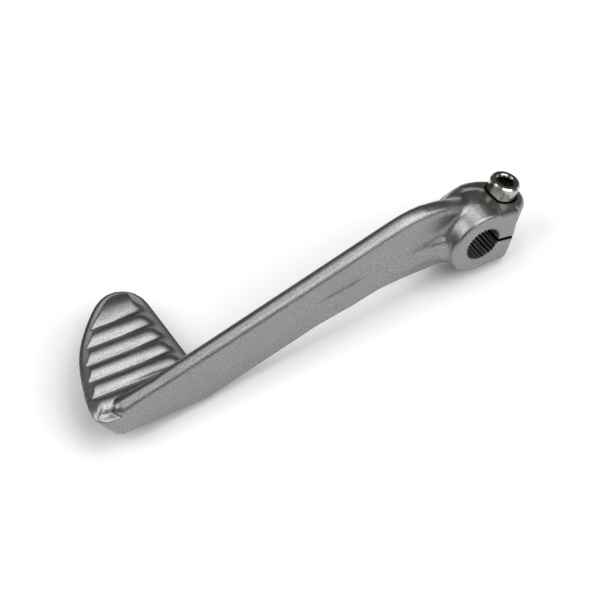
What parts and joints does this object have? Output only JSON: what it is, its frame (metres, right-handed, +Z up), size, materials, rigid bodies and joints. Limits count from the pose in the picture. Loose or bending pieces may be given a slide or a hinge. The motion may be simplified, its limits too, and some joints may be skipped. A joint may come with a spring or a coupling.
{
  "type": "kick start lever",
  "caption": "Kick start lever: slit clamp hub with a splined bore and a socket head pinch screw, a curved arm with a rib, and a leaf-shaped foot pad with a ridged tread.",
  "frame": {"origin": "middle of the splined bore, on its axis", "axes": "-Y along the bore towards the engine, +X from the foot pad to the hub, +Z up with the arm's top edge up"},
  "size_m": [0.1585, 0.0529, 0.0356],
  "materials": {
    "cast_aluminium": "satin grey die-cast skin, fine grain",
    "plated_steel": "bright nickel plate, slightly warm"
  },
  "bodies": {
    "root": {"lever": "cast_aluminium", "clamp_screw": "plated_steel"}
  },
  "joints": []
}
